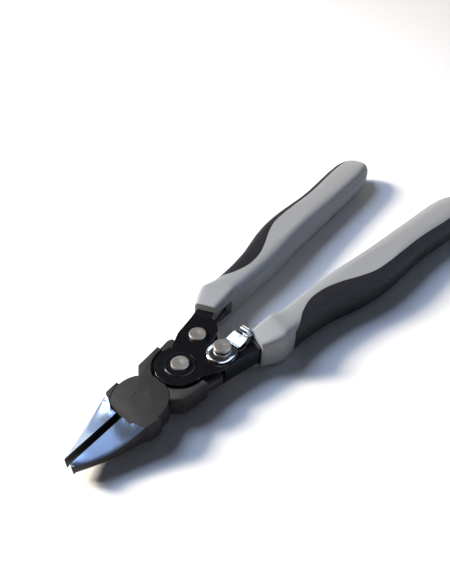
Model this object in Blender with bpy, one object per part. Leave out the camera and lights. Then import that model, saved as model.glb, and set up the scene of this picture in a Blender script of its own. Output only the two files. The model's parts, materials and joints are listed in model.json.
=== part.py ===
"""Compound-action diagonal cutters: two blades, two pressed channels, rivets, lock latch, grips.

Design axes, in millimetres: the handle pivot is (0, 0, 0), the nose points to -Y, the right
handle lies at +X, +Z is up. ORIGIN_MM moves the model so that its base centre is the origin.
"""
import math

import bmesh
import bpy
from mathutils import Matrix, Vector

MM = 0.001

# Linkage: handle pivot P, blade pivot M and the two tang pivots T.
M_Y = -19.7
TANG = (6.5, 16.2)

# Blades.
HALF_THICK = 4.4
THIN_HALF = 2.0
DISC_R = 10.1
LAP_GAP = 0.3
LAP_HALF_GAP = 0.1
TIP_Y = -50.2
FACET_Y = -28.7
FACET_ARC_R = 23.0
OPEN_SWING = 8.6
SLOT_HALF = 1.43
EDGE_SLOPE = 0.0437
EDGE_Z = -0.6
RIM_CLEAR_R = 10.9
DISC_RELIEF_R = 10.05
SPRING_CLEAR_R = 5.8
FORGED_ROUND = 0.35
FACET_SHARES = (0.0, 0.25, 0.5, 0.75, 1.0)
NOSE_WIDTHS = ((-27.0, 10.7), (-32.0, 9.3), (-38.0, 7.3), (-44.0, 4.9), (-48.5, 2.9), (-50.2, 1.9))
CUTTER_HALF = 6.0

# Sheet levels, measured up and down from the mid-plane, and the rims about the handle pivot.
LEFT_PLATE = (2.2, 3.2)
RIGHT_PLATE = (3.4, 4.4)
BOSS_TOP = 4.85
BOSS_R = 5.9
RIGHT_RIM_R = 9.6
SKIRT_R = 8.7
SKIRT_GAP_HALF = 2.5
LEFT_RIM_R = 8.3
SHEET = 1.0
FAR_SIDE = 6.0
LATCH_Z = (4.6, 5.5)

# Rivets.
HEAD_R = 3.42
HEAD_H = 1.1
PIVOT_R = 2.5
TANG_R = 2.2
HOLE_GAP = 0.06
M_PIN_R = 2.8
M_HOLE_LOOSE = 3.1

# Grips.
REST_HALF = 8.3
TANG_HALF_WIDTH = 3.6
POCKET_GAP = 0.3
INSERT_DEPTH = 2.4
INSERT_GAP = 0.3

GRIP_END_Y = 190.8
ORIGIN_MM = Vector((0.0, -(TIP_Y + GRIP_END_Y) / 2.0, REST_HALF))

# Right grip stations: centre x, centre y, tilt in degrees, half width, half height, squareness,
# and the insert's edge on the top face as a share of the half width.
GRIP_STATIONS = (
    (13.6, 28.3, 22.0, 4.7, 6.7, 7.0, 1.00),
    (14.6, 32.3, 24.0, 6.0, 7.5, 7.0, 1.00),
    (15.7, 36.6, 26.0, 6.9, 8.2, 7.0, 1.00),
    (16.1, 38.6, 26.0, 7.0, 8.5, 7.0, 1.00),
    (16.4, 42.4, 18.0, 6.7, 7.7, 4.5, 0.98),
    (16.7, 47.0, 11.0, 6.7, 7.3, 3.4, 0.72),
    (17.0, 52.0, 8.0, 6.9, 7.3, 3.2, 0.25),
    (17.7, 60.0, 6.0, 7.3, 7.5, 3.2, -0.12),
    (18.8, 69.0, 8.0, 8.0, 7.8, 3.2, -0.14),
    (20.4, 78.0, 10.0, 9.0, 8.2, 3.2, 0.06),
    (22.2, 87.0, 11.0, 9.8, 8.5, 3.2, 0.30),
    (23.7, 96.0, 8.0, 10.1, 8.6, 3.2, 0.47),
    (24.8, 106.0, 5.0, 10.0, 8.6, 3.2, 0.55),
    (25.5, 117.0, 3.0, 9.7, 8.4, 3.2, 0.59),
    (26.2, 129.0, 4.0, 9.4, 8.2, 3.2, 0.62),
    (27.3, 141.0, 5.0, 9.5, 8.1, 3.2, 0.68),
    (28.6, 153.0, 6.0, 9.9, 8.1, 3.2, 0.78),
    (29.9, 165.0, 6.0, 10.2, 8.1, 3.2, 0.82),
    (31.1, 175.0, 6.0, 9.8, 7.9, 3.1, 0.78),
    (31.9, 182.5, 7.0, 8.4, 7.1, 2.9, 0.70),
    (32.5, 187.5, 8.0, 6.2, 5.5, 2.6, 0.62),
    (32.8, 190.3, 8.0, 3.6, 3.3, 2.3, 0.55),
)
INSERT_FIRST = 5
INSERT_LAST = 19

COLOURS = {
    "forged_steel": ((0.060, 0.056, 0.055), 0.45, 0.85),
    "black_sheet": ((0.012, 0.012, 0.014), 0.22, 0.10),
    "rivet_nickel": ((0.42, 0.39, 0.35), 0.38, 1.00),
    "chrome": ((0.82, 0.82, 0.80), 0.10, 1.00),
    "spring_steel": ((0.30, 0.30, 0.31), 0.30, 1.00),
    "grip_grey": ((0.42, 0.44, 0.46), 0.55, 0.00),
    "grip_black": ((0.018, 0.018, 0.020), 0.62, 0.00),
    "filler_grey": ((0.20, 0.20, 0.21), 0.60, 0.00),
}


def clear_scene():
    for obj in list(bpy.data.objects):
        bpy.data.objects.remove(obj, do_unlink=True)


def make_materials():
    found = {}
    for name, (colour, roughness, metallic) in COLOURS.items():
        material = bpy.data.materials.new(name)
        material.use_nodes = True
        shader = material.node_tree.nodes["Principled BSDF"]
        shader.inputs["Base Color"].default_value = (*colour, 1.0)
        shader.inputs["Roughness"].default_value = roughness
        shader.inputs["Metallic"].default_value = metallic
        found[name] = material
    return found


# ---------------------------------------------------------------- plan-view outlines

def arc(cx, cy, radius, start, end, steps):
    """Points on a circle from one angle to another, in degrees."""
    points = []
    for i in range(steps + 1):
        angle = math.radians(start + (end - start) * i / steps)
        points.append((cx + radius * math.cos(angle), cy + radius * math.sin(angle)))
    return points


def facet_bend(x):
    """How far the ground facet's root lies back from its middle, at a side distance x."""
    return FACET_ARC_R - math.sqrt(FACET_ARC_R ** 2 - x ** 2)


def strip(centre, half_width):
    """Outline of a band of constant width about a polyline."""
    left = []
    right = []
    last = len(centre) - 1
    for i, (x, y) in enumerate(centre):
        ahead = Vector(centre[min(i + 1, last)])
        behind = Vector(centre[max(i - 1, 0)])
        along = (ahead - behind).normalized()
        across = Vector((along.y, -along.x)) * half_width
        right.append((x + across.x, y + across.y))
        left.append((x - across.x, y - across.y))
    return right + left[::-1]


# ---------------------------------------------------------------- mesh builders

def mesh_object(name, bm):
    bmesh.ops.recalc_face_normals(bm, faces=bm.faces)
    mesh = bpy.data.meshes.new(name)
    bm.to_mesh(mesh)
    bm.free()
    obj = bpy.data.objects.new(name, mesh)
    bpy.context.collection.objects.link(obj)
    return obj


def prism(name, outline, low, high, bevel=0.0, segments=2):
    """Extrude a plan outline between two heights, with optional rounded top and bottom edges."""
    bm = bmesh.new()
    ring = [bm.verts.new((x * MM, y * MM, low * MM)) for x, y in outline]
    base = bm.faces.new(ring)
    raised = bmesh.ops.extrude_face_region(bm, geom=[base])
    top = [item for item in raised["geom"] if isinstance(item, bmesh.types.BMVert)]
    bmesh.ops.translate(bm, verts=top, vec=(0.0, 0.0, (high - low) * MM))
    if bevel > 0.0:
        edges = []
        for edge in bm.edges:
            a, b = edge.verts
            if abs(a.co.z - b.co.z) < 1e-7:
                edges.append(edge)
        bmesh.ops.bevel(
            bm, geom=edges, offset=bevel * MM, segments=segments,
            profile=0.5, affect="EDGES", clamp_overlap=True)
    return mesh_object(name, bm)


def disc(name, centre, radius, low, high, steps=32, bevel=0.0):
    outline = arc(centre[0], centre[1], radius, 0.0, 360.0, steps)[:-1]
    return prism(name, outline, low, high, bevel)


def turned(name, centre, profile, steps=24):
    """Spin a closed profile of (radius, height) points about a vertical axis."""
    bm = bmesh.new()
    rings = []
    for i in range(steps):
        angle = 2.0 * math.pi * i / steps
        ring = []
        for radius, height in profile:
            x = centre[0] + radius * math.cos(angle)
            y = centre[1] + radius * math.sin(angle)
            ring.append(bm.verts.new((x * MM, y * MM, height * MM)))
        rings.append(ring)
    count = len(profile)
    for i in range(steps):
        here = rings[i]
        there = rings[(i + 1) % steps]
        for j in range(count):
            k = (j + 1) % count
            bm.faces.new((here[j], there[j], there[k], here[k]))
    bmesh.ops.remove_doubles(bm, verts=bm.verts, dist=1e-7)
    return mesh_object(name, bm)


def loft(name, rings):
    """Skin a list of equal-length rings of points and cap both ends."""
    bm = bmesh.new()
    rows = [[bm.verts.new(Vector(p) * MM) for p in ring] for ring in rings]
    count = len(rows[0])
    for row, after in zip(rows, rows[1:]):
        for j in range(count):
            k = (j + 1) % count
            bm.faces.new((row[j], row[k], after[k], after[j]))
    bm.faces.new(rows[0][::-1])
    bm.faces.new(rows[-1])
    bmesh.ops.remove_doubles(bm, verts=bm.verts, dist=2e-6)
    bmesh.ops.dissolve_degenerate(bm, edges=bm.edges, dist=2e-6)
    return mesh_object(name, bm)


def combine(obj, tool, operation):
    """Apply an exact Boolean and delete the tool."""
    modifier = obj.modifiers.new("boolean", "BOOLEAN")
    modifier.operation = operation
    modifier.solver = "EXACT"
    modifier.object = tool
    bpy.context.view_layer.update()
    graph = bpy.context.evaluated_depsgraph_get()
    mesh = bpy.data.meshes.new_from_object(obj.evaluated_get(graph))
    old = obj.data
    obj.modifiers.clear()
    obj.data = mesh
    bpy.data.meshes.remove(old)
    bpy.data.objects.remove(tool, do_unlink=True)
    return obj


def join(obj, tool):
    return combine(obj, tool, "UNION")


def cut(obj, tool):
    return combine(obj, tool, "DIFFERENCE")


def mirrored(obj, name):
    """A copy of the object mirrored to the other side of the tool."""
    mesh = obj.data.copy()
    mesh.transform(Matrix.Scale(-1.0, 4, Vector((1.0, 0.0, 0.0))))
    mesh.flip_normals()
    copy = bpy.data.objects.new(name, mesh)
    bpy.context.collection.objects.link(copy)
    return copy


def finish(obj, frame, material, smooth=35.0):
    """Hang the piece on its joint frame and give it its material."""
    bm = bmesh.new()
    bm.from_mesh(obj.data)
    bmesh.ops.remove_doubles(bm, verts=bm.verts, dist=3e-6)
    bmesh.ops.dissolve_degenerate(bm, edges=bm.edges, dist=3e-6)
    bmesh.ops.transform(bm, matrix=Matrix.Translation(-Vector(frame["pivot"])), verts=bm.verts)
    bmesh.ops.triangulate(bm, faces=bm.faces)
    bm.to_mesh(obj.data)
    bm.free()
    obj.data.materials.clear()
    obj.data.materials.append(material)
    obj.data.shade_smooth()
    obj.data.set_sharp_from_angle(angle=math.radians(smooth))
    obj.parent = frame
    return obj


def joint_frame(name, x, y):
    """An empty on a joint axis; pieces hang on it."""
    empty = bpy.data.objects.new(name, None)
    bpy.context.collection.objects.link(empty)
    pivot = Vector((x, y, 0.0)) * MM
    empty["pivot"] = pivot
    empty.location = pivot + ORIGIN_MM * MM
    empty.empty_display_size = 0.01
    return empty


# ---------------------------------------------------------------- blades

def jaw_ring(distance, share):
    """Cross-section of the right jaw at a distance in front of the facet's root."""
    y = FACET_Y - distance
    reach = M_Y - y
    inner_top = 4.3 - 0.10 * distance
    outer_top = max(4.25 - 0.62 * distance + 0.022 * distance ** 2, EDGE_Z + 0.5)
    width = jaw_width(y)
    bottom = -HALF_THICK + 0.05 + 0.05 * max(distance, 0.0)
    edge = 0.05 + EDGE_SLOPE * reach
    top = []
    for across in FACET_SHARES:
        x = SLOT_HALF + (width - SLOT_HALF) * across
        top.append((x, inner_top + (min(outer_top, inner_top) - inner_top) * across))
    points = top + [
        (width + 0.12, (outer_top + bottom) / 2.0),
        (width - 0.5, bottom),
        (edge + 0.6, bottom),
        (edge, EDGE_Z),
        (SLOT_HALF + 0.02, EDGE_Z + 1.0),
    ]
    return [(x, y + facet_bend(x) * share, z) for x, z in points]


def jaw_width(y):
    """Half width of the closed nose along its length."""
    if y >= NOSE_WIDTHS[0][0]:
        return NOSE_WIDTHS[0][1]
    for (y0, w0), (y1, w1) in zip(NOSE_WIDTHS, NOSE_WIDTHS[1:]):
        if y >= y1:
            share = (y0 - y) / (y0 - y1)
            return w0 + (w1 - w0) * share
    return NOSE_WIDTHS[-1][1]


def half_disc(name, radius, low, high, chord, swing=0.0):
    """Lap disc, cut off straight in front and relieved for a swing past the other jaw."""
    reach = M_Y - chord
    edge = math.degrees(math.acos(reach / radius))
    outline = arc(0.0, M_Y, radius, 270.0 + edge, 630.0 - edge - swing, 44)
    if swing:
        corner = reach / math.cos(math.radians(swing / 2.0))
        turn = math.radians(270.0 - swing / 2.0)
        outline.append((corner * math.cos(turn), M_Y + corner * math.sin(turn)))
    return prism(name, outline, low, high)


def blade(name, lap_up):
    """One forged blade, with its jaw at +X and its tang at -X.

    lap_up says whether its lap disc is the upper one.
    """
    rings = []
    steps = (-1.2, 0.0, 2.0, 4.5, 7.0, 10.0, 13.0, 16.0, 18.5, 20.3, FACET_Y - TIP_Y)
    for step in steps:
        share = max(0.0, 1.0 - max(step, 0.0) / 14.0)
        ring = jaw_ring(max(step, 0.0), share)
        if step < 0.0:
            ring = [(x, y - step, z - 0.06 * (z > 0.0)) for x, y, z in ring]
        rings.append(ring)
    body = loft(name, rings)

    front = []
    for i in range(9):
        x = SLOT_HALF + (10.75 - SLOT_HALF) * i / 8
        front.append((x, FACET_Y + facet_bend(x)))
    shoulder = front + [(11.0, -25.6), (11.5, -20.5), (9.4, -20.3), (SLOT_HALF, -20.3)]
    join(body, prism("shoulder", shoulder, -HALF_THICK, HALF_THICK, FORGED_ROUND, 1))

    thick = [(1.0, -17.0), (1.0, -8.0), (-4.0, -5.0), (-9.0, 1.0), (-13.2, 1.0), (-11.7, -10.1),
             (-8.0, -13.4), (-6.0, -17.0)]
    tail = prism("tail", thick, -HALF_THICK, HALF_THICK, FORGED_ROUND, 1)
    cut(tail, disc("rim_clear", (0.0, 0.0), RIM_CLEAR_R, -CUTTER_HALF, CUTTER_HALF, 40))

    thin = [(-1.2, -14.0), (-10.9, -10.2), (-13.0, 0.0), (-14.2, 6.8), (-13.6, 8.8),
            (-11.0, 9.4), (-10.7, 14.2), (-9.0, 16.6), (-3.0, 16.4), (-2.8, 12.0), (-2.8, 5.0),
            (-1.2, 0.0)]
    tongue = prism("tongue", thin, -THIN_HALF, THIN_HALF, 0.2, 1)
    join(tongue, disc("eye", (-TANG[0], TANG[1]), 4.6, -THIN_HALF, THIN_HALF))
    cut(tongue, disc("spring_clear", (0.0, 0.0), SPRING_CLEAR_R, -CUTTER_HALF, CUTTER_HALF, 40))
    join(tail, tongue)
    join(body, tail)

    lap_front = FACET_Y - LAP_GAP
    if lap_up:
        female = half_disc("lap", DISC_R + LAP_GAP, -CUTTER_HALF, LAP_HALF_GAP, lap_front)
        male = half_disc("male", DISC_R, LAP_HALF_GAP, HALF_THICK, FACET_Y, OPEN_SWING)
    else:
        female = half_disc("lap", DISC_R + LAP_GAP, -LAP_HALF_GAP, CUTTER_HALF, lap_front)
        male = half_disc("male", DISC_R, -HALF_THICK, -LAP_HALF_GAP, FACET_Y, OPEN_SWING)
    cut(body, female)
    join(body, male)
    relief = THIN_HALF + 0.1
    cut(body, disc("relief_above", (0.0, 0.0), DISC_RELIEF_R, relief, CUTTER_HALF, 48))
    cut(body, disc("relief_below", (0.0, 0.0), DISC_RELIEF_R, -CUTTER_HALF, -relief, 48))
    hole = M_PIN_R + HOLE_GAP if lap_up else M_HOLE_LOOSE
    cut(body, disc("pin_hole", (0.0, M_Y), hole, -CUTTER_HALF, CUTTER_HALF))
    tang_hole = TANG_R + HOLE_GAP
    cut(body, disc("tang_hole", (-TANG[0], TANG[1]), tang_hole, -CUTTER_HALF, CUTTER_HALF))
    return body


# ---------------------------------------------------------------- handles

TANG_PATH = ((13.2, 26.5), (14.3, 31.5), (15.6, 37.0), (16.4, 43.0), (16.9, 52.0),
             (17.8, 61.0), (19.0, 70.0), (20.6, 79.0))
HOLLOW_PATH = TANG_PATH + ((21.7, 84.0),)


def drill(body, tang):
    """Holes for the handle pivot and for the channel's tang rivet."""
    pivot_hole = PIVOT_R + HOLE_GAP
    cut(body, disc("pivot_hole", (0.0, 0.0), pivot_hole, -CUTTER_HALF, CUTTER_HALF))
    cut(body, disc("tang_hole", tang, TANG_R + HOLE_GAP, -CUTTER_HALF, CUTTER_HALF))


def right_channel():
    """Outer channel: raised round front over the handle pivot, then a U-section to the grip."""
    low, high = RIGHT_PLATE
    rim = arc(0.0, 0.0, RIGHT_RIM_R, 160.0, 322.0, 27)
    outer = [(9.2, -2.4), (9.5, 0.6), (10.6, 3.0), (12.6, 7.4), (13.6, 12.2), (14.4, 17.0),
             (15.4, 21.4)]
    back = [(9.6, 25.0), (6.2, 22.5), (2.6, 19.0), (0.75, 15.5), (0.6, 11.8), (-1.4, 8.6)]
    tang = strip(TANG_PATH, TANG_HALF_WIDTH)
    outline = rim + outer + tang + back
    body = prism("right_handle_channel", outline, -high, high)
    join(body, disc("boss", (0.0, 0.0), BOSS_R, -BOSS_TOP, BOSS_TOP, 36, 0.35))

    skirt_inner = arc(0.0, 0.0, SKIRT_R, 182.0, 330.0, 24)
    hollow = [(-16.0, 0.2), (-SKIRT_R, 0.2)] + skirt_inner
    hollow += [(16.0, -4.35), (16.0, 10.3), (12.3, 10.3)]
    hollow += [(12.8, 13.0), (13.4, 17.2), (14.4, 21.6)]
    count = len(HOLLOW_PATH)
    hollow += strip(HOLLOW_PATH, TANG_HALF_WIDTH - SHEET)[:count]
    open_side = strip(HOLLOW_PATH, TANG_HALF_WIDTH + FAR_SIDE)[count:]
    hollow += [open_side[0], open_side[-1], (-8.0, 24.0), (-16.0, 12.0)]
    cut(body, prism("hollow", hollow, -low, low))
    front = arc(0.0, 0.0, 14.0, 178.0, 346.0, 12) + [(13.6, 3.0), (-14.0, 3.0)]
    cut(body, prism("front_open", front, -SKIRT_GAP_HALF, SKIRT_GAP_HALF))
    drill(body, TANG)
    return body


def left_channel():
    """Inner channel: its front plates turn inside the other channel's front."""
    low, high = LEFT_PLATE
    rim = arc(0.0, 0.0, LEFT_RIM_R, 20.0, -192.0, 32)
    right_side = [(2.4, 11.4), (0.2, 13.0), (-0.2, 15.5), (-0.4, 19.0), (-2.4, 23.6), (-5.6, 26.6)]
    left_side = [(-15.4, 21.4), (-14.4, 17.0), (-13.3, 12.2), (-10.9, 7.4), (-9.2, 4.6)]
    tang = [(-x, y) for x, y in strip(TANG_PATH, TANG_HALF_WIDTH)]
    count = len(TANG_PATH)
    inner_edge = tang[count:][::-1]
    outer_edge = tang[:count]
    outline = left_side + rim[::-1] + right_side + inner_edge + outer_edge[::-1]
    body = prism("left_handle_channel", outline, -high, high)

    reach = len(HOLLOW_PATH)
    web = [(-x, y) for x, y in strip(HOLLOW_PATH, TANG_HALF_WIDTH - SHEET)][:reach]
    far = [(-x, y) for x, y in strip(HOLLOW_PATH, TANG_HALF_WIDTH + FAR_SIDE)][reach:]
    hollow = [(-16.0, 10.3), (-11.9, 10.3), (-12.3, 12.6), (-13.3, 17.2), (-14.3, 21.6)]
    hollow += web + [far[0], far[-1], (6.0, 24.0), (14.0, 12.0), (14.0, -12.0), (-16.0, -12.0)]
    cut(body, prism("hollow", hollow, -low, low))
    drill(body, (-TANG[0], TANG[1]))
    return body


def filler(name, inner_half):
    """Plastic block between a channel's plates at the mouth of the grip."""
    path = [(13.5, 28.0), (14.3, 31.5), (15.6, 37.0), (16.4, 43.0)]
    band = strip(path, TANG_HALF_WIDTH)
    count = len(path)
    inner = band[count:]
    web = strip(path, TANG_HALF_WIDTH - 1.3)[:count]
    return prism(name, web + inner, -inner_half, inner_half, 0.15, 1)


# ---------------------------------------------------------------- rivets, spring, latch

def rivet_profile(stem, head, low, high, low_seat, high_seat):
    """Two-headed rivet with chamfered rims and a small dimple in each face."""
    chamfer = 0.35
    dimple = 0.7
    return [
        (0.0, low + 0.25), (dimple, low), (head - chamfer, low), (head, low + chamfer),
        (head, low_seat), (stem, low_seat), (stem, high_seat), (head, high_seat),
        (head, high - chamfer), (head - chamfer, high), (dimple, high), (0.0, high - 0.25),
    ]


def rivet(name, centre, stem, low_seat, high_seat):
    profile = rivet_profile(
        stem, HEAD_R, low_seat - HEAD_H, high_seat + HEAD_H, low_seat, high_seat)
    bm = bmesh.new()
    steps = 28
    rings = []
    for radius, height in profile[1:-1]:
        ring = []
        for i in range(steps):
            angle = 2.0 * math.pi * i / steps
            x = centre[0] + radius * math.cos(angle)
            y = centre[1] + radius * math.sin(angle)
            ring.append(bm.verts.new((x * MM, y * MM, height * MM)))
        rings.append(ring)
    for here, there in zip(rings, rings[1:]):
        for i in range(steps):
            k = (i + 1) % steps
            bm.faces.new((here[i], here[k], there[k], there[i]))
    ends = ((rings[0], profile[0][1]), (rings[-1], profile[-1][1]))
    for ring, height in ends:
        tip = bm.verts.new((centre[0] * MM, centre[1] * MM, height * MM))
        for i in range(steps):
            bm.faces.new((ring[i], ring[(i + 1) % steps], tip))
    return mesh_object(name, bm)


def washer(name, centre, inner, outer, low, high, steps=24):
    profile = [(inner, low), (outer, low), (outer, high), (inner, high)]
    return turned(name, centre, profile, steps)


def return_spring(name):
    """Torsion coil about the handle pivot with two straight legs between the tangs."""
    wire = 0.38
    radius = 4.25
    turns = 3
    half_height = 1.43
    low_leg, high_leg = 0.15, 1.75
    leg_start, leg_end = 7.5, 10.0
    start = math.radians(100.0)
    sweep = 2.0 * math.pi * turns - math.radians(30.0)
    steps = 40
    centre_line = [Vector((low_leg, leg_end, -half_height)),
                   Vector((low_leg, leg_start, -half_height))]
    for i in range(steps + 1):
        share = i / steps
        angle = start + sweep * share
        height = half_height * (2.0 * share - 1.0)
        centre_line.append(
            Vector((radius * math.cos(angle), radius * math.sin(angle), height)))
    centre_line += [Vector((high_leg, leg_start, half_height)),
                    Vector((high_leg, leg_end, half_height))]
    rings = []
    sides = 6
    last = len(centre_line) - 1
    for i, point in enumerate(centre_line):
        along = centre_line[min(i + 1, last)] - centre_line[max(i - 1, 0)]
        along.normalize()
        side = along.cross(Vector((0.0, 0.0, 1.0))).normalized()
        up = side.cross(along)
        ring = []
        for j in range(sides):
            angle = 2.0 * math.pi * j / sides
            ring.append(point + side * wire * math.cos(angle) + up * wire * math.sin(angle))
        rings.append(ring)
    return loft(name, rings)


def lock_latch(name):
    """Pressed latch: round nose about the right rivet, raised step and a curled thumb tab."""
    low, high = LATCH_Z
    x0, y0 = TANG
    nose = arc(x0 + 1.0, y0 - 2.4, 5.2, 180.0, 360.0, 16)
    outline = nose + [(12.4, 16.0), (12.0, 18.6), (11.4, 22.0), (10.8, 25.6), (10.2, 28.0),
                      (9.0, 29.2), (6.2, 29.4), (5.1, 28.2), (4.7, 25.5), (4.5, 21.0),
                      (3.6, 19.4), (2.6, 17.2)]
    body = prism(name, outline, low, high, 0.2, 1)
    step = [(4.75, 21.2), (11.3, 22.0), (10.7, 26.0), (4.95, 25.6)]
    join(body, prism("step", step, low + 0.2, high + 0.75, 0.15, 1))
    curl_outer, curl_inner = 1.35, 0.65
    curl_y = 28.0
    curl = arc(curl_y, low + 0.05 + curl_outer, curl_outer, -90.0, 135.0, 9)
    curl += arc(curl_y, low + 0.05 + curl_outer, curl_inner, 135.0, -90.0, 9)
    rings = []
    for x in (5.4, 9.8):
        rings.append([(x, along, up) for along, up in curl])
    join(body, loft("curl", rings))
    cut(body, disc("hole", TANG, TANG_R + HOLE_GAP, 3.0, 9.0))
    return body


# ---------------------------------------------------------------- grips

def smooth_stations():
    """Refine the grip stations with a Catmull-Rom curve through them."""
    table = GRIP_STATIONS
    refined = []
    last = len(table) - 1
    for i in range(last):
        p0 = table[max(i - 1, 0)]
        p1 = table[i]
        p2 = table[i + 1]
        p3 = table[min(i + 2, last)]
        pieces = 3 if 4 <= i <= 7 else 1
        for j in range(pieces):
            t = j / pieces
            values = []
            for a, b, c, d in zip(p0, p1, p2, p3):
                curve = 0.5 * (2.0 * b + (c - a) * t + (2.0 * a - 5.0 * b + 4.0 * c - d) * t ** 2
                               + (3.0 * b - a - 3.0 * c + d) * t ** 3)
                values.append(curve if i >= 4 else b + (c - b) * t)
            refined.append((i + t, values))
    refined.append((float(last), list(table[last])))
    return refined


def section_point(values, angle, inset):
    """A point of a station's section: angle 0 is the outer side of the right grip."""
    x, y, tilt, half_width, half_height, square, _ = values
    power = 2.0 / square
    c = math.cos(angle)
    s = math.sin(angle)
    across = (half_width - inset) * math.copysign(abs(c) ** power, c)
    up = (half_height - inset) * math.copysign(abs(s) ** power, s)
    limit = REST_HALF - inset
    up = max(-limit, min(limit, up))
    turn = math.radians(tilt)
    return (x + across * math.cos(turn), y - across * math.sin(turn), up)


def edge_angle(values, gap):
    """Section angle of the insert's edge, for its share of the half width."""
    share = values[6] + gap / values[3]
    share = max(-0.98, min(0.999, share))
    return math.acos(math.copysign(abs(share) ** (values[5] / 2.0), share))


def insert_depth(position):
    """Depth of the insert's pocket along the stations."""
    rise = min(max((position - INSERT_FIRST + 1.0) / 1.5, 0.0), 1.0)
    fall = min(max((INSERT_LAST + 1.0 - position) / 1.5, 0.0), 1.0)
    share = min(rise, fall)
    return INSERT_DEPTH * share * share * (3.0 - 2.0 * share)


def grip_body(name, pocket_half, pocket_gap_half):
    """Hard grey grip with the insert's pocket on its outer side and a mouth for the tang."""
    rings = []
    for position, values in smooth_stations():
        depth = insert_depth(position)
        edge = edge_angle(values, 0.0)
        ring = []
        for i in range(19):
            angle = edge + (2.0 * math.pi - 2.0 * edge) * i / 18
            ring.append(section_point(values, angle, 0.0))
        for i in range(11):
            angle = -edge + 2.0 * edge * i / 10
            ring.append(section_point(values, angle, depth))
        rings.append(ring)
    body = loft(name, rings)
    mouth = strip([(12.6, 24.0)] + list(TANG_PATH) + [(20.8, 80.0)],
                  TANG_HALF_WIDTH + POCKET_GAP)
    cut(body, prism("mouth", mouth, -pocket_half, pocket_half))
    window = [(14.5, 33.5), (16.2, 39.0), (4.0, 43.0), (2.4, 38.0)]
    cut(body, prism("window", window, -pocket_gap_half, pocket_gap_half))
    return body


def grip_insert(name):
    """Soft black insert that fills the pocket on the outer side."""
    rings = []
    for position, values in smooth_stations():
        depth = insert_depth(position) - INSERT_GAP
        if depth < 0.5:
            continue
        edge = edge_angle(values, INSERT_GAP)
        ring = []
        for i in range(11):
            angle = -edge + 2.0 * edge * i / 10
            ring.append(section_point(values, angle, 0.0))
        for i in range(10, -1, -1):
            angle = -edge + 2.0 * edge * i / 10
            ring.append(section_point(values, angle, depth))
        rings.append(ring)
    return loft(name, rings)


# ---------------------------------------------------------------- assembly

def main():
    clear_scene()
    slots = make_materials()
    tx, ty = TANG
    right = joint_frame("right_handle_frame", 0.0, 0.0)
    left = joint_frame("left_handle_frame", 0.0, 0.0)
    blade_l = joint_frame("blade_left_frame", tx, ty)
    blade_r = joint_frame("blade_right_frame", -tx, ty)
    latch = joint_frame("latch_frame", tx, ty)

    upper = blade("cutting_blade_right", True)
    lower = mirrored(blade("lower_blank", False), "cutting_blade_left")
    bpy.data.objects.remove(bpy.data.objects["lower_blank"], do_unlink=True)
    finish(upper, blade_r, slots["forged_steel"], 30.0)
    finish(lower, blade_l, slots["forged_steel"], 30.0)
    flush = HALF_THICK - 0.1
    pin = disc("jaw_pivot_pin", (0.0, M_Y), M_PIN_R, -flush, flush, 32, 0.15)
    finish(pin, blade_r, slots["forged_steel"])

    finish(right_channel(), right, slots["black_sheet"])
    finish(left_channel(), left, slots["black_sheet"])
    seat = BOSS_TOP + 0.15
    finish(rivet("handle_pivot_rivet", (0.0, 0.0), PIVOT_R, -seat, seat), right,
           slots["rivet_nickel"])
    seat = LEFT_PLATE[1] + 0.2
    finish(rivet("left_tang_rivet", (-tx, ty), TANG_R, -seat, seat), left,
           slots["rivet_nickel"])
    finish(rivet("right_tang_rivet", TANG, TANG_R, -RIGHT_PLATE[1] - 0.2, 6.1), right,
           slots["rivet_nickel"])
    finish(washer("handle_pivot_spacer", (0.0, 0.0), 2.6, 3.5, -2.0, 2.0), right,
           slots["spring_steel"])
    finish(washer("right_tang_washer_top", TANG, 2.3, 3.2, 2.2, 3.2), right,
           slots["spring_steel"])
    finish(washer("right_tang_washer_bottom", TANG, 2.3, 3.2, -3.2, -2.2), right,
           slots["spring_steel"])
    finish(washer("latch_spring_washer", TANG, 2.3, 3.1, 5.7, 5.95), right,
           slots["spring_steel"])
    finish(return_spring("return_spring"), right, slots["spring_steel"])
    finish(lock_latch("lock_latch"), latch, slots["chrome"])

    outer_half = RIGHT_PLATE[1] + POCKET_GAP
    inner_half = LEFT_PLATE[1] + POCKET_GAP
    right_body = grip_body("right_grip_body", outer_half, RIGHT_PLATE[0] - 0.4)
    left_blank = grip_body("left_blank", inner_half, LEFT_PLATE[0])
    left_body = mirrored(left_blank, "left_grip_body")
    bpy.data.objects.remove(left_blank, do_unlink=True)
    right_insert = grip_insert("right_grip_insert")
    left_insert = mirrored(right_insert, "left_grip_insert")
    right_filler = filler("right_channel_filler", RIGHT_PLATE[0] - 0.3)
    left_blank = filler("filler_blank", LEFT_PLATE[0] - 0.3)
    left_filler = mirrored(left_blank, "left_channel_filler")
    bpy.data.objects.remove(left_blank, do_unlink=True)
    finish(right_body, right, slots["grip_grey"], 40.0)
    finish(left_body, left, slots["grip_grey"], 40.0)
    finish(right_insert, right, slots["grip_black"], 40.0)
    finish(left_insert, left, slots["grip_black"], 40.0)
    finish(right_filler, right, slots["filler_grey"])
    finish(left_filler, left, slots["filler_grey"])
    bpy.context.view_layer.update()


if __name__ == "__main__":
    main()
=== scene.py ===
"""Compound-action diagonal cutters: finished steel, grips, latch, materials and stage."""
import json
import math

import bmesh
import bpy
from bpy.props import FloatProperty, FloatVectorProperty, PointerProperty
from mathutils import Matrix, Vector


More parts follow.
